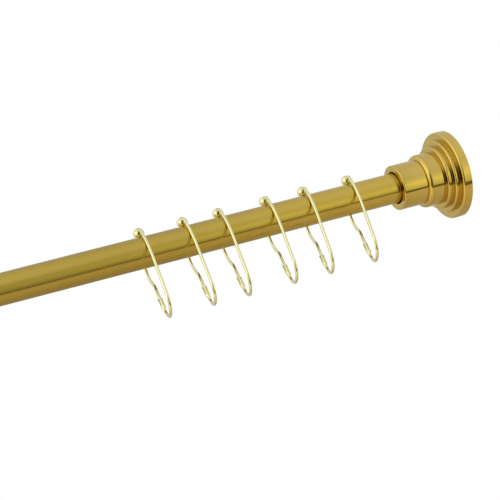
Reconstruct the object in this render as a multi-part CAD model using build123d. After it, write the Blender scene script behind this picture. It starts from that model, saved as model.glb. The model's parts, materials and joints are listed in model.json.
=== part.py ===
from build123d import *
import os
from itertools import accumulate
from math import atan2, cos, degrees, radians, sin, sqrt

# Telescoping shower curtain rod with stepped wall flanges and wire curtain rings.
# Millimetres. +X runs along the rod to the right-hand wall, +Y away from the viewer, +Z up.
# The origin is on the rod's axis, in the face that meets the right-hand wall.

# Rod
rod_span = 1676.4            # wall to wall, in the middle of the rod's range
outer_radius = 12.7
outer_length = 1000.0
outer_wall = 0.8
tube_gap = 0.8               # outer tube's bore to the inner tube
inner_length = 1000.0
inner_wall = 0.8
slide_gap = 0.12             # radial clearance of a tube or rubber ring that slides
seat_gap = 0.05              # radial clearance of a piece that stays where it was pushed in

# Bush in the mouth of the outer tube and bush on the tail of the inner tube
guide_lip = 4.0
guide_lip_bevel = 0.4
guide_sleeve = 30.0
tail_head = 12.0
tail_spigot = 25.0
tail_wall = 2.2

# Wall plate with the socket that takes the rod's end
plate_thickness = 2.5
plate_gap = 0.3              # plate edge to the inside of the flange rim
socket_length = 20.0
socket_wall = 3.0
socket_gap = 0.15
screw_circle = 52.0
screw_count = 3
screw_hole_radius = 2.5

# Set screw through the underside of each socket
set_screw_radius = 2.45
set_screw_length = 6.0
set_screw_place = 14.0       # from the wall
set_screw_hole_gap = 0.05
set_screw_point_gap = 0.05
hex_key_flats = 2.5
hex_key_depth = 2.5

# Flange cover, a stepped bell: each tread's length along the rod and its rise above the one before,
# from the collar out to the rim
mouth_gap = 0.8              # collar mouth to the outer tube
collar_lip = 5.4             # collar's front face
collar_length = 22.1
hub_rise = 3.5
hub_length = 14.7
step_rises = (4.4, 4.3)
step_lengths = (4.6, 4.3)
rim_rise = 5.7
rim_length = 8.0
cover_wall = 1.8
collar_wall = 2.7
web_thickness = 4.0          # end wall of the collar, round the rod
mouth_round = 0.8
collar_round = 0.9
hub_round = 3.3
step_round = 1.2
rim_round = 1.6
foot_round = 0.3             # in the corner where a tread meets the next riser

# Rubber ring that holds the flange cover on the rod
grip_length = 5.0
grip_groove_depth = 0.7
grip_bevel = 0.6

# Curtain ring: one bent wire, a bead on its crown, the two wire ends meeting in a catch
wire_radius = 1.25
bead_radius = 4.5
bead_lift = 0.3              # bead to rod
bead_gap = 0.08              # radial clearance of the bead on the wire
crown_run = 9.8              # straight stretch of wire through the bead
shoulder_radius = 10.0       # rear bend beside the bead
head_radius = 23.3           # rear bow round the rod
waist_radius = 9.0           # bend between the rear bow and the rear leg
leg_spread = 7.7             # degrees the rear leg leans out from the vertical
front_shoulder_radius = 6.0
brow_radius = 58.0           # long bend from the front shoulder to the front leg
front_spread = 3.6           # degrees the front leg leans out from the vertical
foot_radius = 12.9
foot_shift = 1.5             # foot's centre in front of the crown's middle
ring_drop = 76.3             # crown to foot, between wire centres

# Catch on the rear leg: an open trough on the lower wire end holds the upper wire end
catch_below_waist = 10.0
trough_length = 9.0
trough_floor = 1.3
trough_taper = 2.0
trough_wall = 0.6
trough_gap = 0.15
tip_gap = 0.6

# How each ring hangs: distance from the right-hand wall, turn about the vertical, lean along the rod
ring_hang = [
    (90.7, 6.3, 5.1),
    (131.5, 6.2, 4.7),
    (166.1, 5.0, 3.3),
    (208.0, 5.8, 2.4),
    (239.5, 6.7, 1.7),
    (277.3, 5.9, 2.1),
]

# Sizes that follow from those above
outer_bore = outer_radius - outer_wall
inner_radius = outer_bore - tube_gap
inner_bore = inner_radius - inner_wall
mouth_radius = outer_radius + mouth_gap
collar_radius = mouth_radius + collar_lip
rim_radius = collar_radius + hub_rise + sum(step_rises) + rim_rise
hub_front = rim_length + sum(step_lengths) + hub_length
cover_front = hub_front + collar_length
collar_hollow = collar_radius - collar_wall
grip_groove = collar_hollow + grip_groove_depth
plate_radius = rim_radius - cover_wall - plate_gap
crown_height = outer_radius + bead_lift + bead_radius

# Each end of the rod is built as if its wall were at x = 0 with the rod leaving along -X
right_end = Location((0, 0, 0))
left_end = Location((-rod_span, 0, 0), (0, 0, 180))


def along_rod(profile):
    """Turn a (distance from the wall, radius) outline into a solid about the rod's axis."""
    points = [(-distance, radius) for distance, radius in profile]
    return revolve(make_face(Polyline(*points, close=True)), Axis.X)


def sleeve(start, length, radius, bore):
    """Plain tube on the rod's axis, from start to start + length away from the wall."""
    end = start + length
    return along_rod([(start, bore), (start, radius), (end, radius), (end, bore)])


def outer_tube():
    return sleeve(plate_thickness, outer_length, outer_radius, outer_bore)


def inner_tube():
    return left_end * sleeve(plate_thickness, inner_length, inner_radius, inner_bore)


def guide_bush():
    """Thin sleeve inside the outer tube's mouth, with a lip that covers the cut end."""
    mouth = plate_thickness + outer_length
    bore = inner_radius + slide_gap
    lip = sleeve(mouth, guide_lip, outer_radius, bore)
    far_edges = lip.edges().filter_by(GeomType.CIRCLE).group_by(Axis.X)[0]
    lip = chamfer(far_edges.sort_by(SortBy.RADIUS)[-1], guide_lip_bevel)
    return lip + sleeve(mouth - guide_sleeve, guide_sleeve, outer_bore - seat_gap, bore)


def tail_bush():
    """Plug in the inner tube's hidden end whose head runs in the outer tube."""
    tail = plate_thickness + inner_length
    spigot_radius = inner_bore - seat_gap
    bore = spigot_radius - tail_wall
    spigot = sleeve(tail - tail_spigot, tail_spigot, spigot_radius, bore)
    head = sleeve(tail, tail_head, outer_bore - slide_gap, bore)
    return left_end * (spigot + head)


def across_socket(radius, length, reach):
    """Upright cylinder under the rod at the set screw's place, from reach down by length."""
    centre = Location((-set_screw_place, 0, -reach - length / 2))
    return centre * Cylinder(radius, length)


def wall_plate(end, tube_radius):
    """Round plate screwed to the wall, with a socket that the tube's end stands in."""
    socket_bore = tube_radius + socket_gap
    plate = sleeve(0, plate_thickness, plate_radius, 0)
    plate += sleeve(plate_thickness, socket_length, socket_bore + socket_wall, socket_bore)
    screw_plane = Plane.YZ.offset(-plate_thickness / 2)
    holes = PolarLocations(screw_circle / 2, screw_count, start_angle=90)
    plate -= screw_plane * holes * Cylinder(screw_hole_radius, 2 * plate_thickness)
    hole_radius = set_screw_radius + set_screw_hole_gap
    plate -= across_socket(hole_radius, 2 * socket_wall + socket_gap, tube_radius)
    return end * plate


def set_screw(end, tube_radius):
    """Headless screw with a hex socket, its point just on the tube."""
    reach = tube_radius + set_screw_point_gap
    screw = across_socket(set_screw_radius, set_screw_length, reach)
    driver_plane = Plane((-set_screw_place, 0, -reach - set_screw_length))
    driver = RegularPolygon(hex_key_flats / 2, 6, major_radius=False)
    return end * (screw - extrude(driver_plane * driver, hex_key_depth))


def treads():
    """Start, end, radius and edge round of each tread of the flange, from the wall to the collar's front."""
    radii = list(accumulate((collar_radius, hub_rise) + step_rises + (rim_rise,)))
    ends = list(accumulate((rim_length,) + step_lengths[::-1] + (hub_length, collar_length)))
    rounds = [rim_round] + [step_round] * len(step_lengths) + [hub_round, collar_round]
    return list(zip([0] + ends, ends, radii[::-1], rounds))


def flange_cover(end):
    """Stepped bell of even wall, with a long collar whose hollow holds the grip ring."""
    steps = treads()
    outside = []
    rounds = {(cover_front, mouth_radius): mouth_round}
    for start, stop, radius, edge_round in steps:
        outside += [(start, radius), (stop, radius)]
        rounds[(stop, radius)] = edge_round
        if 0 < start < hub_front:
            rounds[(start, radius)] = foot_round
    seat = cover_front - web_thickness
    inside = [(cover_front, mouth_radius), (seat, mouth_radius), (seat, grip_groove)]
    inside += [(seat - grip_length, grip_groove), (seat - grip_length, collar_hollow)]
    inside.append((hub_front - cover_wall, collar_hollow))
    for start, stop, radius, edge_round in steps[-2::-1]:
        inside.append((stop - cover_wall, radius - cover_wall))
        inside.append((max(start - cover_wall, 0), radius - cover_wall))
    points = [(-distance, radius) for distance, radius in outside + inside]
    face = make_face(Polyline(*points, close=True))
    for (distance, radius), edge_round in rounds.items():
        corner = face.vertices().sort_by_distance((-distance, radius))[0]
        face = fillet(corner, edge_round)
    return end * revolve(face, Axis.X)


def grip_ring(end, tube_radius):
    """Rubber ring in the collar's groove, with a bevelled lip on the tube."""
    seat = cover_front - web_thickness
    ring = sleeve(seat - grip_length, grip_length, grip_groove - seat_gap, tube_radius + slide_gap)
    lip_edges = ring.edges().filter_by(GeomType.CIRCLE).group_by(SortBy.RADIUS)[0]
    return end * chamfer(lip_edges, grip_bevel)


def angle_of(vector):
    return degrees(atan2(vector.Y, vector.X))


def arc_from_to(centre, radius, start, end):
    """Arc about centre from the direction start to the direction end, the short way round."""
    first = angle_of(start)
    turn = (angle_of(end) - first + 180) % 360 - 180
    return CenterArc(centre, radius, first, turn)


def leg_length(bottom, up, side, centre, reach):
    """Leg above its bottom at whose top the bend centre, beside the leg, is at reach from a centre."""
    offset = bottom + side - centre
    along = offset.dot(up)
    return -along - sqrt(along**2 - offset.dot(offset) + reach**2)


def foot_centre():
    return Vector(-foot_shift, crown_height - ring_drop + foot_radius)


def rear_leg():
    """Top and bottom of the rear leg with its outward and upward directions and its bow's centre."""
    lean = radians(leg_spread)
    out = Vector(cos(lean), -sin(lean))
    up = Vector(sin(lean), cos(lean))
    bottom = foot_centre() + out * foot_radius
    shoulder = Vector(crown_run / 2, crown_height - shoulder_radius)
    inset = head_radius - shoulder_radius
    head = Vector(0, shoulder.Y - sqrt(inset**2 - shoulder.X**2))
    length = leg_length(bottom, up, out * waist_radius, head, head_radius + waist_radius)
    return bottom + up * length, bottom, out, up, head


def rear_bends():
    """Bow and leg behind the rod, from the crown to the catch and from the catch to the foot."""
    leg_top, bottom, out, up, head = rear_leg()
    shoulder = Vector(crown_run / 2, crown_height - shoulder_radius)
    waist = leg_top + out * waist_radius
    trough_mouth, upper_tip, lower_end, trough_end = catch_places()
    return [
        arc_from_to(shoulder, shoulder_radius, Vector(0, 1), shoulder - head),
        arc_from_to(head, head_radius, shoulder - head, waist - head),
        arc_from_to(waist, waist_radius, head - waist, leg_top - waist),
        Line(leg_top, upper_tip),
        Line(lower_end, bottom),
        arc_from_to(foot_centre(), foot_radius, out, Vector(0, -1)),
    ]


def front_bends():
    """Long bow in front of the rod that runs straight down to the foot."""
    lean = radians(front_spread)
    out = Vector(-cos(lean), -sin(lean))
    up = Vector(-sin(lean), cos(lean))
    bottom = foot_centre() + out * foot_radius
    shoulder = Vector(-crown_run / 2, crown_height - front_shoulder_radius)
    reach = brow_radius - front_shoulder_radius
    leg_top = bottom + up * leg_length(bottom, up, out * -brow_radius, shoulder, reach)
    brow = leg_top - out * brow_radius
    return [
        arc_from_to(shoulder, front_shoulder_radius, Vector(0, 1), shoulder - brow),
        arc_from_to(brow, brow_radius, shoulder - brow, out),
        Line(leg_top, bottom),
        arc_from_to(foot_centre(), foot_radius, out, Vector(0, -1)),
    ]


def catch_places():
    """Points on the rear leg's line: trough mouth, upper wire tip, lower wire end, trough end."""
    leg_top, bottom, out, up, head = rear_leg()
    trough_mouth = leg_top - up * catch_below_waist
    lower_end = trough_mouth - up * (trough_length - trough_floor)
    return trough_mouth, lower_end + up * tip_gap, lower_end, trough_mouth - up * trough_length


def ring_path():
    """Wire centre line from the lower end round the foot, the front and the crown to the upper tip."""
    crown = Line((crown_run / 2, crown_height), (-crown_run / 2, crown_height))
    flat = Wire(Curve() + rear_bends() + front_bends() + [crown])
    return Plane.YZ * flat


def trough():
    """Cup cut open towards the ring's middle, tapering into the lower wire."""
    trough_mouth, upper_tip, lower_end, trough_end = catch_places()
    up = (trough_mouth - trough_end).normalized()
    bore = wire_radius + trough_gap
    radius = bore + trough_wall
    depth = trough_length - trough_floor
    upright = Plane(origin=(0, trough_end.X, trough_end.Y), x_dir=(1, 0, 0), z_dir=(0, up.X, up.Y))
    aligned = (Align.CENTER, Align.CENTER, Align.MIN)
    cup = Cylinder(radius, trough_length, align=aligned)
    cup += Pos(0, 0, -trough_taper) * Cone(wire_radius, radius, trough_taper, align=aligned)
    cup -= Pos(0, 0, trough_floor) * Cylinder(bore, depth, align=aligned)
    window = Box(2 * radius, radius, depth, align=(Align.CENTER, Align.MAX, Align.MIN))
    cup -= Pos(0, 0, trough_floor) * window
    return upright * cup


def hang(index):
    """Place of a ring's bead on the rod, with the ring's own turn and lean."""
    station, turn, lean = ring_hang[index]
    return Pos(-station, 0, crown_height) * Rot(0, 0, -turn) * Rot(0, lean, 0) * Pos(0, 0, -crown_height)


def ring_wire(index):
    path = ring_path()
    section = Plane(path @ 0, z_dir=path % 0) * Circle(wire_radius)
    wire = sweep(section, path)
    upper_tip = catch_places()[1]
    wire += Pos(0, upper_tip.X, upper_tip.Y) * Sphere(wire_radius)
    return hang(index) * (wire + trough())


def ring_bead(index):
    bead = Sphere(bead_radius) - Rot(90, 0, 0) * Cylinder(wire_radius + bead_gap, 3 * bead_radius)
    return hang(index) * Pos(0, 0, crown_height) * bead


pieces = {
    "outer_tube": outer_tube(),
    "inner_tube": inner_tube(),
    "guide_bush": guide_bush(),
    "tail_bush": tail_bush(),
}
for side, end, tube_radius in (("right", right_end, outer_radius), ("left", left_end, inner_radius)):
    pieces["wall_plate_" + side] = wall_plate(end, tube_radius)
    pieces["set_screw_" + side] = set_screw(end, tube_radius)
    pieces["flange_cover_" + side] = flange_cover(end)
    pieces["grip_ring_" + side] = grip_ring(end, tube_radius)
for index in range(len(ring_hang)):
    pieces[f"ring_wire_{index + 1}"] = ring_wire(index)
    pieces[f"ring_bead_{index + 1}"] = ring_bead(index)

os.makedirs("parts", exist_ok=True)
for name, shape in pieces.items():
    export_step(shape, f"parts/{name}.step")
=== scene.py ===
import json
from math import asin, atan2, cos, pi, radians, sin, sqrt, tan

import bmesh
import bpy
from mathutils import Matrix, Quaternion, Vector


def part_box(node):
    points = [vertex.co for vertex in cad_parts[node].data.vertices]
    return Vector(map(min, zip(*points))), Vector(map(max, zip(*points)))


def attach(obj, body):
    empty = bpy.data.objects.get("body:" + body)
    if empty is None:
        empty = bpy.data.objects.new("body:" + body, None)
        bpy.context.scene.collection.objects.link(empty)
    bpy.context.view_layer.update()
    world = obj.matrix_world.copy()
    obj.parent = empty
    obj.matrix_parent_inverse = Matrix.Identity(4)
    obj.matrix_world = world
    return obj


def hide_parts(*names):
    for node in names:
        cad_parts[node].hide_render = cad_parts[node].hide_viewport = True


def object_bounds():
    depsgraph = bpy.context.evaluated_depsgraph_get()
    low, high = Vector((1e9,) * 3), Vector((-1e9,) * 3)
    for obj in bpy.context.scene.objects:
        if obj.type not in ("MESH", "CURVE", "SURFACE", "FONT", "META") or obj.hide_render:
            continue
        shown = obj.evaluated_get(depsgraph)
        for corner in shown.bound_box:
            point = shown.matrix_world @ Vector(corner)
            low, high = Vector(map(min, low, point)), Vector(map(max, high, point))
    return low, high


# Looks of a telescoping shower curtain rod: satin brass tubes and stepped flanges, polished wire rings.
# Metres, in the frame of the solids: +X along the rod to the right-hand wall, +Z up.
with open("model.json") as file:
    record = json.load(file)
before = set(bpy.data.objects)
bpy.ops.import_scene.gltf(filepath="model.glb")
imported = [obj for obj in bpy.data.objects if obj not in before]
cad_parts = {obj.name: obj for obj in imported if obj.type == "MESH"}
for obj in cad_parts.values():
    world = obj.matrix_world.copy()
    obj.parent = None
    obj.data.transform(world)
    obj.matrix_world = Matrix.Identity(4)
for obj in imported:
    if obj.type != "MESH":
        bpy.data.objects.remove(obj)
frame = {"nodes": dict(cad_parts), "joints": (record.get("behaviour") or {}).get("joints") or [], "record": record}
cad_low, cad_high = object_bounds()
nodes = frame["nodes"]
joints = {joint["name"]: joint for joint in frame["joints"]}
mounts = {mount["name"]: mount for mount in frame["record"]["mounts"]}

# Tubes: the sizes of all pieces are in millimetres, and MM turns them to metres
MM = 0.001
tube_wall = 0.8
tube_edge_round = 0.25

# Flange cover: each tread's length and its rise above the one before, from the collar out to the rim
mouth_radius = 13.5
collar_lip = 5.4
collar_length = 22.1
hub_rise = 3.5
hub_length = 14.7
step_rises = (4.4, 4.3)
step_lengths = (4.6, 4.3)
rim_rise = 5.7
rim_length = 8.0
cover_wall = 1.8
collar_wall = 2.7
web_thickness = 4.0
grip_length = 5.0
grip_groove_depth = 0.7
mouth_round = 0.8
collar_round = 0.9
hub_round = 3.3
step_round = 1.2
rim_round = 1.6
foot_round = 0.1

# Curtain ring, drawn with its crown at the origin
ring_count = 6
wire_radius = 1.25
bead_bore = 1.33
bead_bore_round = 0.35
crown_run = 9.8
shoulder_radius = 10.0
head_radius = 23.3
waist_radius = 9.0
rear_spread = 7.7
front_shoulder_radius = 6.0
brow_radius = 58.0
front_spread = 3.6
foot_radius = 12.9
foot_shift = 1.5
ring_drop = 76.3
catch_below_waist = 10.0
trough_length = 9.0
trough_floor = 1.3
trough_taper = 2.0
trough_wall = 0.6
trough_gap = 0.15
trough_edge_round = 0.2
tip_gap = 0.6
tip_flat_share = 0.03

# Fineness of the meshes, and the angles from which an edge stays sharp or is a corner to round
turned_segments = 192
bead_segments = 64
wire_sides = 32
arc_step = radians(5)
tip_steps = 6
trough_sides = 24
sharp_angle = radians(30)
corner_angle = radians(60)

# Camera at the photograph's viewing angle
camera_azimuth = radians(23.273)
camera_elevation = radians(24.289)
camera_roll = radians(-24.726)
camera_aim = Vector((-192.071, 8.511, -17.324)) * MM
camera_distance = 1637.283 * MM
camera_lens = 146.138
camera_sensor = 36.0

# Stage, in metres: the floor lies where a bathroom floor would, under a rod hung at head height
floor_drop = 1.95
floor_size = 40.0

# Studio light round the rod: level and tint at angles in degrees, 0 towards the viewer and 90 overhead
light_levels = (
    (-180, 0.42), (-150, 0.45), (-116, 0.53), (-82, 0.64), (-68, 0.64), (-66, 0.14), (-59, 0.14),
    (-57, 0.42), (-44, 0.52), (-31, 0.62), (-13, 0.58), (13, 0.78), (47, 0.78), (96, 0.66), (150, 0.50),
    (180, 0.42),
)
light_tints = (
    (-180, "FFF6DE"), (-72, "FFF6DE"), (-54, "F4F5C6"), (-15, "F5F9DC"), (20, "FAFFFF"), (180, "FAFFFF"),
)
studio_strength = 3.0

# Studio light along the rod: gain by a direction's share of X, on the front panel and elsewhere
panel_gains = (
    (-1, 1.0), (-0.75, 1.0), (-0.65, 0.03), (-0.22, 0.03), (-0.10, 0.33), (0.31, 0.29), (0.345, 0.34),
    (0.40, 0.76), (0.425, 0.90), (0.47, 0.70), (1, 0.67),
)
other_gains = (
    (-1, 0.8), (-0.75, 0.8), (-0.65, 0.56), (-0.2, 0.56), (0.05, 0.5), (0.25, 0.32), (0.36, 0.32),
    (0.42, 0.45), (1, 0.49),
)

# Edges of the front panel, each from the angle where it starts to the angle where it is full
panel_foot = (-59, -56)
panel_top = (12, -30)


def linear(hex_colour):
    """Linear RGBA of an sRGB hex colour such as C7A64C."""
    channels = [int(hex_colour[place:place + 2], 16) / 255 for place in (0, 2, 4)]
    return [c / 12.92 if c <= 0.04045 else ((c + 0.055) / 1.055) ** 2.4 for c in channels] + [1.0]


def grey(level):
    """Linear RGBA of a neutral light level."""
    return (level, level, level, 1)


def add_node(tree, kind, settings=None, values=None, links=None):
    """Add a node with its properties, its input values and the sockets that feed its inputs."""
    made = tree.nodes.new(kind)
    for name, value in (settings or {}).items():
        setattr(made, name, value)
    for name, value in (values or {}).items():
        made.inputs[name].default_value = value
    for name, source in (links or {}).items():
        tree.links.new(source, made.inputs[name])
    return made


def new_material(name):
    """Empty node material and its output."""
    material = bpy.data.materials.new(name)
    material.use_nodes = True
    material.node_tree.nodes.clear()
    output = material.node_tree.nodes.new("ShaderNodeOutputMaterial")
    return material, material.node_tree, output


def brushed_brass(name, colours, roughness, smear):
    """Brass brushed round its axis and lacquered, with the roughness between and in its marks.

    Fine marks run round the tubes and flanges, so reflections smear along the rod and stay
    crisper across it. The marks are far finer than a pixel, so they are drawn 0.9 mm apart.
    """
    material, tree, output = new_material(name)
    mark_spacing = 0.9 * MM
    mark_length = 14 * MM
    mark_depth = 0.02 * MM
    tone_length = 60 * MM
    place = add_node(tree, "ShaderNodeTexCoord").outputs["Object"]
    stretch = add_node(tree, "ShaderNodeMapping",
                       values={"Scale": (1 / mark_spacing, 1 / mark_length, 1 / mark_length)},
                       links={"Vector": place})
    marks = add_node(tree, "ShaderNodeTexNoise", values={"Scale": 1.0, "Detail": 3.0, "Roughness": 0.6},
                     links={"Vector": stretch.outputs["Vector"]})
    tone = add_node(tree, "ShaderNodeTexNoise", values={"Scale": 1 / tone_length, "Detail": 2.0},
                    links={"Vector": place})
    colour = add_node(tree, "ShaderNodeMix", {"data_type": "RGBA"},
                      {"A": linear(colours[0]), "B": linear(colours[1])}, {"Factor": tone.outputs["Fac"]})
    gloss = add_node(tree, "ShaderNodeMapRange", values={"To Min": roughness[0], "To Max": roughness[1]},
                     links={"Value": marks.outputs["Fac"]})
    bump = add_node(tree, "ShaderNodeBump", values={"Strength": 0.03, "Distance": mark_depth},
                    links={"Height": marks.outputs["Fac"]})
    around = add_node(tree, "ShaderNodeTangent", {"direction_type": "RADIAL", "axis": "X"})
    brass = add_node(tree, "ShaderNodeBsdfPrincipled",
                     values={"Metallic": 1.0, "Anisotropic": smear, "Anisotropic Rotation": 0.25},
                     links={"Base Color": colour.outputs["Result"], "Roughness": gloss.outputs["Result"],
                            "Normal": bump.outputs["Normal"], "Tangent": around.outputs["Tangent"]})
    tree.links.new(brass.outputs["BSDF"], output.inputs["Surface"])
    return material


def polished_brass():
    """Brass wire and balls, tumbled and bright-dipped: a pale mirror with faint hairlines."""
    material, tree, output = new_material("polished_brass_bright_dipped")
    hairline = 0.5 * MM
    tone_length = 9 * MM
    place = add_node(tree, "ShaderNodeTexCoord").outputs["Object"]
    fine = add_node(tree, "ShaderNodeTexNoise", values={"Scale": 1 / hairline, "Detail": 2.0},
                    links={"Vector": place})
    tone = add_node(tree, "ShaderNodeTexNoise", values={"Scale": 1 / tone_length, "Detail": 2.0},
                    links={"Vector": place})
    colour = add_node(tree, "ShaderNodeMix", {"data_type": "RGBA"},
                      {"A": linear("D6CE98"), "B": linear("E1DAAD")}, {"Factor": tone.outputs["Fac"]})
    rough = add_node(tree, "ShaderNodeMapRange", values={"To Min": 0.05, "To Max": 0.10},
                     links={"Value": fine.outputs["Fac"]})
    brass = add_node(tree, "ShaderNodeBsdfPrincipled", values={"Metallic": 1.0},
                     links={"Base Color": colour.outputs["Result"], "Roughness": rough.outputs["Result"]})
    tree.links.new(brass.outputs["BSDF"], output.inputs["Surface"])
    return material


def speckled(name, colours, metallic, roughness, grain, depth):
    """Plain finish with a fine grain in its colour, gloss and surface, all from one noise."""
    material, tree, output = new_material(name)
    place = add_node(tree, "ShaderNodeTexCoord").outputs["Object"]
    noise = add_node(tree, "ShaderNodeTexNoise", values={"Scale": 1 / grain, "Detail": 4.0},
                     links={"Vector": place})
    colour = add_node(tree, "ShaderNodeMix", {"data_type": "RGBA"},
                      {"A": linear(colours[0]), "B": linear(colours[1])}, {"Factor": noise.outputs["Fac"]})
    rough = add_node(tree, "ShaderNodeMapRange", values={"To Min": roughness[0], "To Max": roughness[1]},
                     links={"Value": noise.outputs["Fac"]})
    bump = add_node(tree, "ShaderNodeBump", values={"Strength": 0.3, "Distance": depth},
                    links={"Height": noise.outputs["Fac"]})
    shader = add_node(tree, "ShaderNodeBsdfPrincipled", values={"Metallic": metallic},
                      links={"Base Color": colour.outputs["Result"], "Roughness": rough.outputs["Result"],
                             "Normal": bump.outputs["Normal"]})
    tree.links.new(shader.outputs["BSDF"], output.inputs["Surface"])
    return material


def rounded(corners):
    """Outline through (x, y, round) corners, each round drawn as an arc between its two edges."""
    outline = []
    for index, (x, y, edge_round) in enumerate(corners):
        corner = Vector((x, y))
        if edge_round == 0:
            outline.append(corner)
            continue
        back = (Vector(corners[index - 1][:2]) - corner).normalized()
        ahead = (Vector(corners[(index + 1) % len(corners)][:2]) - corner).normalized()
        half = back.angle(ahead) / 2
        centre = corner + (back + ahead).normalized() * edge_round / sin(half)
        first = corner + back * edge_round / tan(half) - centre
        last = corner + ahead * edge_round / tan(half) - centre
        steps = max(3, round(first.angle(last) / arc_step))
        for step in range(steps + 1):
            outline.append(centre + first.slerp(last, step / steps).normalized() * edge_round)
    return outline


def smooth(mesh):
    """Shade a mesh smooth and keep its sharp edges."""
    mesh.shade_smooth()
    mesh.set_sharp_from_angle(angle=sharp_angle)


def finished_mesh(name, build):
    """Smooth-shaded mesh from a bmesh, which is freed."""
    mesh = bpy.data.meshes.new(name)
    build.to_mesh(mesh)
    build.free()
    smooth(mesh)
    return mesh


def turned(name, outline, segments):
    """Closed mesh turned about the X axis from an (along, radius) outline in millimetres."""
    build = bmesh.new()
    rings = []
    for index in range(segments):
        angle = 2 * pi * (index + 0.5) / segments
        ring = [(x * MM, y * cos(angle) * MM, y * sin(angle) * MM) for x, y in outline]
        rings.append([build.verts.new(point) for point in ring])
    for ring, following in zip(rings, rings[1:] + rings[:1]):
        for index in range(len(outline)):
            build.faces.new((ring[index - 1], ring[index], following[index], following[index - 1]))
    bmesh.ops.recalc_face_normals(build, faces=build.faces)
    return finished_mesh(name, build)


def show(node, how_made, mesh, material, body):
    """Put a finished mesh in the scene in place of a solid, riding on that solid's body."""
    piece = bpy.data.objects.new(f"{node}_{how_made}", mesh)
    bpy.context.scene.collection.objects.link(piece)
    mesh.materials.clear()
    mesh.materials.append(material)
    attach(piece, body)
    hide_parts(node)


def tube(node, body, material):
    """Drawn tube with its cut ends deburred, as long and wide as its solid."""
    low, high = [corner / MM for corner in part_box(node)]
    bore = high.z - tube_wall
    corners = [(low.x, bore), (low.x, high.z), (high.x, high.z), (high.x, bore)]
    outline = rounded([(x, y, tube_edge_round) for x, y in corners])
    show(node, "drawn", turned(node, outline, turned_segments), material, body)


def flange_outline():
    """Flange cover cut along its axis: distance from the wall and radius, from the rim's foot.

    The outside runs from the rim up the treads to the collar. The inside follows it one wall
    deeper, and ends in the grip ring's groove and the web round the collar's mouth.
    """
    lengths = (rim_length, *step_lengths[::-1], hub_length, collar_length)
    rises = (rim_rise, *step_rises[::-1], hub_rise)
    rounds = (rim_round, *[step_round] * len(step_rises), hub_round, collar_round)
    collar_radius = mouth_radius + collar_lip
    radius = collar_radius + sum(rises)
    start = 0
    outside = []
    inside = []
    for length, rise, edge_round in zip(lengths, (*rises, 0), rounds):
        stop = start + length
        outside += [(start, radius, foot_round if start and rise else 0), (stop, radius, edge_round)]
        inner = radius - (cover_wall if rise else collar_wall)
        inside += [(max(start - cover_wall, 0), inner, 0), (stop - cover_wall, inner, 0)]
        start = stop
        radius -= rise
    seat = start - web_thickness
    hollow = collar_radius - collar_wall
    groove = hollow + grip_groove_depth
    inside[-1:] = [(seat - grip_length, hollow, 0), (seat - grip_length, groove, 0), (seat, groove, 0),
                   (seat, mouth_radius, 0), (start, mouth_radius, mouth_round)]
    return rounded(outside + inside[::-1])


def flange(side, away, material):
    """Spun flange cover of one end, with its rim at the wall and its collar pointing away from it."""
    node = "flange_cover_" + side
    low, high = [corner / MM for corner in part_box(node)]
    wall = high.x if away < 0 else low.x
    outline = [(wall + away * x, y) for x, y in flange_outline()]
    cover = turned(node, outline, turned_segments)
    show(node, "spun", cover, material, side + "_cover")


def arc(centre, radius, first, last):
    """Points on an arc from the direction first to the direction last, the short way round."""
    steps = max(4, round(first.angle(last) / arc_step))
    return [centre + first.slerp(last, step / steps).normalized() * radius for step in range(steps + 1)]


def leg_directions(spread, side):
    """Outward and upward directions of a leg that spreads by some degrees, behind (+1) or in front (-1)."""
    lean = radians(spread)
    return Vector((side * cos(lean), -sin(lean))), Vector((side * sin(lean), cos(lean)))


def leg_top(bottom, up, side, centre, reach):
    """Top of a straight leg whose next bend, centred beside that top, is at reach from another centre."""
    offset = bottom + side - centre
    along = offset.dot(up)
    return bottom + up * (-along - sqrt(along**2 - offset.dot(offset) + reach**2))


def foot_centre():
    """Centre of the round foot."""
    return Vector((-foot_shift, foot_radius - ring_drop))


def rear_bow():
    """Bends behind the rod, from the crown to the top of the leg."""
    out, up = leg_directions(rear_spread, 1)
    shoulder = Vector((crown_run / 2, -shoulder_radius))
    inset = head_radius - shoulder_radius
    head = Vector((0, shoulder.y - sqrt(inset**2 - shoulder.x**2)))
    bottom = foot_centre() + out * foot_radius
    top = leg_top(bottom, up, out * waist_radius, head, head_radius + waist_radius)
    waist = top + out * waist_radius
    bends = arc(shoulder, shoulder_radius, Vector((0, 1)), shoulder - head)
    bends += arc(head, head_radius, shoulder - head, waist - head)[1:]
    bends += arc(waist, waist_radius, head - waist, top - waist)[1:]
    return bends


def front_bow():
    """Bends in front of the rod, from the crown to the top of the leg."""
    out, up = leg_directions(front_spread, -1)
    shoulder = Vector((-crown_run / 2, -front_shoulder_radius))
    bottom = foot_centre() + out * foot_radius
    top = leg_top(bottom, up, out * -brow_radius, shoulder, brow_radius - front_shoulder_radius)
    brow = top - out * brow_radius
    bends = arc(shoulder, front_shoulder_radius, Vector((0, 1)), shoulder - brow)
    bends += arc(brow, brow_radius, shoulder - brow, out)[1:]
    return bends


def trough_end():
    """Lower end of the catch on the rear leg, and the leg's direction upwards."""
    up = leg_directions(rear_spread, 1)[1]
    return rear_bow()[-1] - up * (catch_below_waist + trough_length), up


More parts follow.
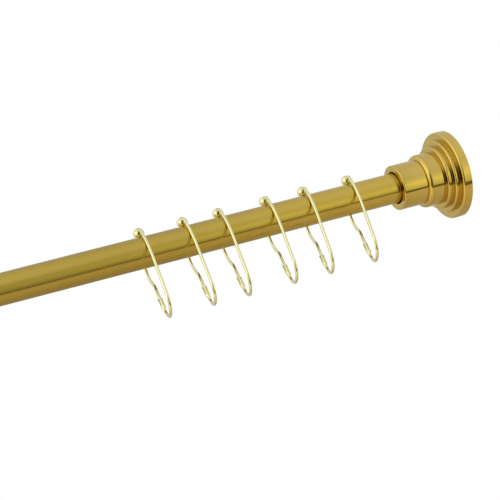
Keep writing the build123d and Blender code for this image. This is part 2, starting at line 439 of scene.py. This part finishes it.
def wire_line():
    """Wire's centre line with its thickness as a share of the wire's radius, from the catch to the tip.

    The lower end swells into the catch's floor and the upper end is a rounded tip.
    """
    end, up = trough_end()
    swell = (wire_radius + trough_gap + trough_wall) / wire_radius
    line = [(end + up * trough_floor, swell), (end, swell), (end - up * trough_taper, 1)]
    rear_out = leg_directions(rear_spread, 1)[0]
    front_out = leg_directions(front_spread, -1)[0]
    bottom = Vector((0, -1))
    bends = arc(foot_centre(), foot_radius, rear_out, bottom)
    bends += arc(foot_centre(), foot_radius, bottom, front_out)[1:]
    line += [(point, 1) for point in bends + front_bow()[::-1] + rear_bow()]
    tip = end + up * (trough_floor + tip_gap)
    for step in range(tip_steps + 1):
        angle = pi / 2 * step / tip_steps
        line.append((tip - up * wire_radius * sin(angle), max(cos(angle), tip_flat_share)))
    return line


def wire_curve():
    """Curve object of the wire's centre line, in the plane across the rod."""
    data = bpy.data.curves.new("wire_line", "CURVE")
    data.dimensions = "3D"
    line = wire_line()
    spline = data.splines.new("POLY")
    spline.points.add(len(line) - 1)
    for point, (place, thickness) in zip(spline.points, line):
        point.co = (0, place.x * MM, place.y * MM, 1)
        point.radius = thickness
    made = bpy.data.objects.new("wire_line", data)
    bpy.context.scene.collection.objects.link(made)
    return made


def trough_object():
    """Open half sleeve on the catch's floor that the wire's tip springs into."""
    end, up = trough_end()
    bore = wire_radius + trough_gap
    outer = bore + trough_wall
    angles = [pi * index / trough_sides for index in range(trough_sides + 1)]
    section = [(outer * cos(a), outer * sin(a)) for a in angles]
    section += [(bore * cos(a), bore * sin(a)) for a in reversed(angles)]
    build = bmesh.new()
    face = build.faces.new([build.verts.new((x, y, trough_floor)) for x, y in section])
    lifted = bmesh.ops.extrude_face_region(build, geom=[face])["geom"]
    top = [item for item in lifted if isinstance(item, bmesh.types.BMVert)]
    bmesh.ops.translate(build, verts=top, vec=(0, 0, trough_length - trough_floor))
    bmesh.ops.recalc_face_normals(build, faces=build.faces)
    corners = [edge for edge in build.edges if edge.calc_face_angle(0) > corner_angle]
    bmesh.ops.bevel(build, geom=corners, offset=trough_edge_round, segments=2, affect="EDGES", profile=0.5)
    tilt = Matrix.Rotation(-atan2(up.x, up.y), 4, "X")
    bmesh.ops.transform(build, verts=build.verts, matrix=Matrix.Translation((0, end.x, end.y)) @ tilt)
    bmesh.ops.scale(build, verts=build.verts, vec=(MM, MM, MM))
    made = bpy.data.objects.new("trough", finished_mesh("trough", build))
    bpy.context.scene.collection.objects.link(made)
    return made


def ring_tree():
    """Geometry nodes that draw the wire along its line, add the catch and hang the ring on its bead."""
    tree = bpy.data.node_groups.new("curtain_ring", "GeometryNodeTree")
    kinds = {"Geometry": "Geometry", "Wire Radius": "Float", "Wire Sides": "Int", "Catch": "Object",
             "Crown Place": "Vector", "Turn": "Float", "Lean": "Float", "Finish": "Material"}
    sockets = {}
    for name, kind in kinds.items():
        socket = tree.interface.new_socket(name, in_out="INPUT", socket_type="NodeSocket" + kind)
        sockets[name] = socket.identifier
    tree.interface.new_socket("Geometry", in_out="OUTPUT", socket_type="NodeSocketGeometry")
    given = add_node(tree, "NodeGroupInput").outputs
    section = add_node(tree, "GeometryNodeCurvePrimitiveCircle",
                       links={"Resolution": given["Wire Sides"], "Radius": given["Wire Radius"]})
    thickness = add_node(tree, "GeometryNodeInputRadius")
    wire = add_node(tree, "GeometryNodeCurveToMesh", values={"Fill Caps": True},
                    links={"Curve": given["Geometry"], "Profile Curve": section.outputs["Curve"],
                           "Scale": thickness.outputs["Radius"]})
    catch = add_node(tree, "GeometryNodeObjectInfo", links={"Object": given["Catch"]})
    both = add_node(tree, "GeometryNodeJoinGeometry", links={"Geometry": wire.outputs["Mesh"]})
    tree.links.new(catch.outputs["Geometry"], both.inputs["Geometry"])
    back = add_node(tree, "ShaderNodeMath", {"operation": "MULTIPLY"}, {1: -1.0}, {0: given["Turn"]})
    angles = add_node(tree, "ShaderNodeCombineXYZ", links={"Y": given["Lean"], "Z": back.outputs["Value"]})
    hung = add_node(tree, "GeometryNodeTransform",
                    links={"Geometry": both.outputs["Geometry"], "Translation": given["Crown Place"],
                           "Rotation": angles.outputs["Vector"]})
    real = add_node(tree, "GeometryNodeRealizeInstances", links={"Geometry": hung.outputs["Geometry"]})
    dressed = add_node(tree, "GeometryNodeSetMaterial",
                       links={"Geometry": real.outputs["Geometry"], "Material": given["Finish"]})
    add_node(tree, "NodeGroupOutput", links={"Geometry": dressed.outputs["Geometry"]})
    return tree, sockets


def ring_hang(number):
    """Place of a ring's bead on the rod with the ring's turn and lean, read from the frame."""
    spin = joints[f"bead_{number}_spin"]
    place = Vector(spin["pos_m"])
    turn = atan2(spin["axis"][0], spin["axis"][1])
    foot = Vector(mounts[f"curtain_loop_{number}"]["pos_m"])
    sweep = (place - foot).dot(Vector((cos(turn), -sin(turn), 0)))
    return place, turn, asin(sweep / (ring_drop * MM))


def wire_mesh(line, tree, inputs):
    """Plain mesh that the node tree makes from the wire's line, with its inputs by identifier."""
    bend = line.modifiers.new("curtain_ring", "NODES")
    bend.node_group = tree
    for identifier, value in inputs.items():
        bend[identifier] = value
    line.update_tag()
    shape = line.evaluated_get(bpy.context.evaluated_depsgraph_get())
    wire = bpy.data.meshes.new_from_object(shape)
    line.modifiers.remove(bend)
    smooth(wire)
    return wire


def bead_mesh(number):
    """Turned ball with a bore for the wire along X, its bore's edges eased."""
    low, high = [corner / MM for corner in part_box(f"ring_bead_{number}")]
    radius = (high.z - low.z) / 2
    half = sqrt(radius**2 - bead_bore**2)
    steps = round(pi / arc_step)
    start = atan2(bead_bore + bead_bore_round, half)
    outline = []
    for step in range(steps + 1):
        angle = start + (pi - 2 * start) * step / steps
        outline.append((radius * cos(angle), radius * sin(angle)))
    inner = half - bead_bore_round
    outline += [(-inner, bead_bore), (inner, bead_bore)]
    return turned("ring_bead", outline, bead_segments)


def curtain_rings(material):
    """Six rings of one bent wire each, and the balls that they run on."""
    tree, sockets = ring_tree()
    line = wire_curve()
    catch = trough_object()
    for number in range(1, ring_count + 1):
        place, turn, lean = ring_hang(number)
        given = {"Wire Radius": wire_radius * MM, "Wire Sides": wire_sides, "Catch": catch,
                 "Crown Place": place, "Turn": turn, "Lean": lean, "Finish": material}
        wire = wire_mesh(line, tree, {sockets[name]: value for name, value in given.items()})
        show(f"ring_wire_{number}", "bent", wire, material, f"ring_{number}")
        bead = bead_mesh(number)
        hung = Matrix.Rotation(-turn, 4, "Z") @ Matrix.Rotation(lean, 4, "Y")
        across = Matrix.Rotation(pi / 2, 4, "Z")
        bead.transform(Matrix.Translation(place) @ hung @ across)
        show(f"ring_bead_{number}", "turned", bead, material, f"bead_{number}")
    bpy.data.objects.remove(line)
    bpy.data.objects.remove(catch)


def finish_hidden_pieces():
    """Plates, screws, bushes and rubber rings keep their solids and get their own finishes."""
    # Barrel-plated zinc is a pale grey sheen with a faint mottle
    zinc = speckled("zinc_plated_steel", ("9A9C9C", "B4B6B4"), metallic=1.0, roughness=(0.30, 0.42),
                    grain=1.2 * MM, depth=0.01 * MM)
    # Black oxide is a near-black sheen
    oxide = speckled("black_oxide_steel", ("26262A", "323236"), metallic=1.0, roughness=(0.36, 0.48),
                     grain=0.6 * MM, depth=0.01 * MM)
    # Moulded nylon is dark, waxy and half matt
    nylon = speckled("moulded_nylon", ("2C2924", "38352E"), metallic=0.0, roughness=(0.42, 0.55),
                     grain=0.8 * MM, depth=0.02 * MM)
    # Moulded rubber is black and dull
    rubber = speckled("moulded_rubber", ("191919", "222222"), metallic=0.0, roughness=(0.62, 0.80),
                      grain=0.5 * MM, depth=0.03 * MM)
    finishes = {"wall_plate": zinc, "set_screw": oxide, "guide_bush": nylon, "tail_bush": nylon,
                "grip_ring": rubber}
    for name, piece in nodes.items():
        for start, material in finishes.items():
            if name.startswith(start):
                piece.data.materials.clear()
                piece.data.materials.append(material)


def light_ramp(tree, source, low, high, stops):
    """Light that follows a value between low and high through (value, colour) stops."""
    share = add_node(tree, "ShaderNodeMapRange", values={"From Min": low, "From Max": high},
                     links={"Value": source})
    ramp = add_node(tree, "ShaderNodeValToRGB", links={"Fac": share.outputs["Result"]})
    elements = ramp.color_ramp.elements
    while len(elements) < len(stops):
        elements.new(1.0)
    for element, (value, colour) in zip(elements, stops):
        element.position = (value - low) / (high - low)
        element.color = colour
    return ramp.outputs["Color"]


def studio_light(tree):
    """Colour of the studio light in every direction.

    The light changes with the angle round the rod's axis. A narrow gap between two soft panels gives
    the thin dark line that runs along the rod, and the light from underneath is warmer. Along the rod,
    the panel facing the viewer grows brighter to the right and is dark to the left.
    """
    direction = add_node(tree, "ShaderNodeTexCoord").outputs["Generated"]
    parts = add_node(tree, "ShaderNodeSeparateXYZ", links={"Vector": direction}).outputs
    near = add_node(tree, "ShaderNodeMath", {"operation": "MULTIPLY"}, {1: -1.0}, {0: parts["Y"]})
    turn = add_node(tree, "ShaderNodeMath", {"operation": "ARCTAN2"},
                    links={0: parts["Z"], 1: near.outputs["Value"]}).outputs["Value"]
    levels = [(radians(angle), grey(level)) for angle, level in light_levels]
    tints = [(radians(angle), linear(colour)) for angle, colour in light_tints]
    level = light_ramp(tree, turn, -pi, pi, levels)
    tint = light_ramp(tree, turn, -pi, pi, tints)
    front = light_ramp(tree, parts["X"], -1, 1, [(along, grey(level)) for along, level in panel_gains])
    other = light_ramp(tree, parts["X"], -1, 1, [(along, grey(level)) for along, level in other_gains])
    edges = []
    for start, full in (panel_foot, panel_top):
        edge = add_node(tree, "ShaderNodeMapRange", {"interpolation_type": "SMOOTHSTEP"},
                        {"From Min": radians(start), "From Max": radians(full)}, {"Value": turn})
        edges.append(edge.outputs["Result"])
    panel = add_node(tree, "ShaderNodeMath", {"operation": "MULTIPLY"}, links={0: edges[0], 1: edges[1]})
    gain = add_node(tree, "ShaderNodeMix", {"data_type": "RGBA"},
                    links={"Factor": panel.outputs["Value"], "A": other, "B": front})
    light = level
    for share in (gain.outputs["Result"], tint):
        light = add_node(tree, "ShaderNodeMix", {"data_type": "RGBA", "blend_type": "MULTIPLY"},
                         {"Factor": 1.0}, {"A": light, "B": share}).outputs["Result"]
    return light


def studio_world():
    """Soft studio round the rod that only the metal sees, with a white background for the camera."""
    world = bpy.data.worlds.new("studio")
    bpy.context.scene.world = world
    world.use_nodes = True
    tree = world.node_tree
    tree.nodes.clear()
    studio = add_node(tree, "ShaderNodeBackground", values={"Strength": studio_strength},
                      links={"Color": studio_light(tree)})
    white = add_node(tree, "ShaderNodeBackground", values={"Color": grey(1), "Strength": 1.0})
    seen = add_node(tree, "ShaderNodeLightPath").outputs["Is Camera Ray"]
    both = add_node(tree, "ShaderNodeMixShader",
                    links={0: seen, 1: studio.outputs["Background"], 2: white.outputs["Background"]})
    add_node(tree, "ShaderNodeOutputWorld", links={"Surface": both.outputs["Shader"]})


def floor():
    """Plain pale floor well below the rod, out of the metal's reflections."""
    build = bmesh.new()
    bmesh.ops.create_grid(build, x_segments=1, y_segments=1, size=floor_size / 2)
    middle = (cad_low.x + cad_high.x) / 2
    bmesh.ops.translate(build, verts=build.verts, vec=(middle, 0, -floor_drop))
    made = bpy.data.objects.new("floor", finished_mesh("floor", build))
    bpy.context.scene.collection.objects.link(made)
    paint = speckled("pale_floor", ("ECEBE8", "F0EFEC"), metallic=0.0, roughness=(0.7, 0.8),
                     grain=40 * MM, depth=0.1 * MM)
    made.data.materials.append(paint)
    made.visible_glossy = False


def camera():
    """Camera that looks up at the right-hand end of the rod, tilted as the photograph is."""
    data = bpy.data.cameras.new("camera")
    data.sensor_width = camera_sensor
    data.lens = camera_lens
    data.clip_start = 0.01
    data.clip_end = 100
    made = bpy.data.objects.new("camera", data)
    bpy.context.scene.collection.objects.link(made)
    level = cos(camera_elevation)
    forward = Vector((sin(camera_azimuth) * level, cos(camera_azimuth) * level, sin(camera_elevation)))
    made.rotation_mode = "QUATERNION"
    made.rotation_quaternion = forward.to_track_quat("-Z", "Y") @ Quaternion((0, 0, 1), camera_roll)
    made.location = camera_aim - forward * camera_distance
    bpy.context.scene.camera = made


drawn = brushed_brass("satin_brass_drawn", ("C1A24A", "C7AA52"), roughness=(0.19, 0.27), smear=0.3)
spun = brushed_brass("satin_brass_spun_and_buffed", ("C1A252", "C7AA5B"), roughness=(0.10, 0.13), smear=0.2)
polished = polished_brass()
tube("outer_tube", "fixed_rod", drawn)
tube("inner_tube", "sliding_rod", drawn)
flange("right", -1, spun)
flange("left", 1, spun)
curtain_rings(polished)
finish_hidden_pieces()
studio_world()
floor()
camera()
bpy.context.scene.view_settings.view_transform = "Standard"
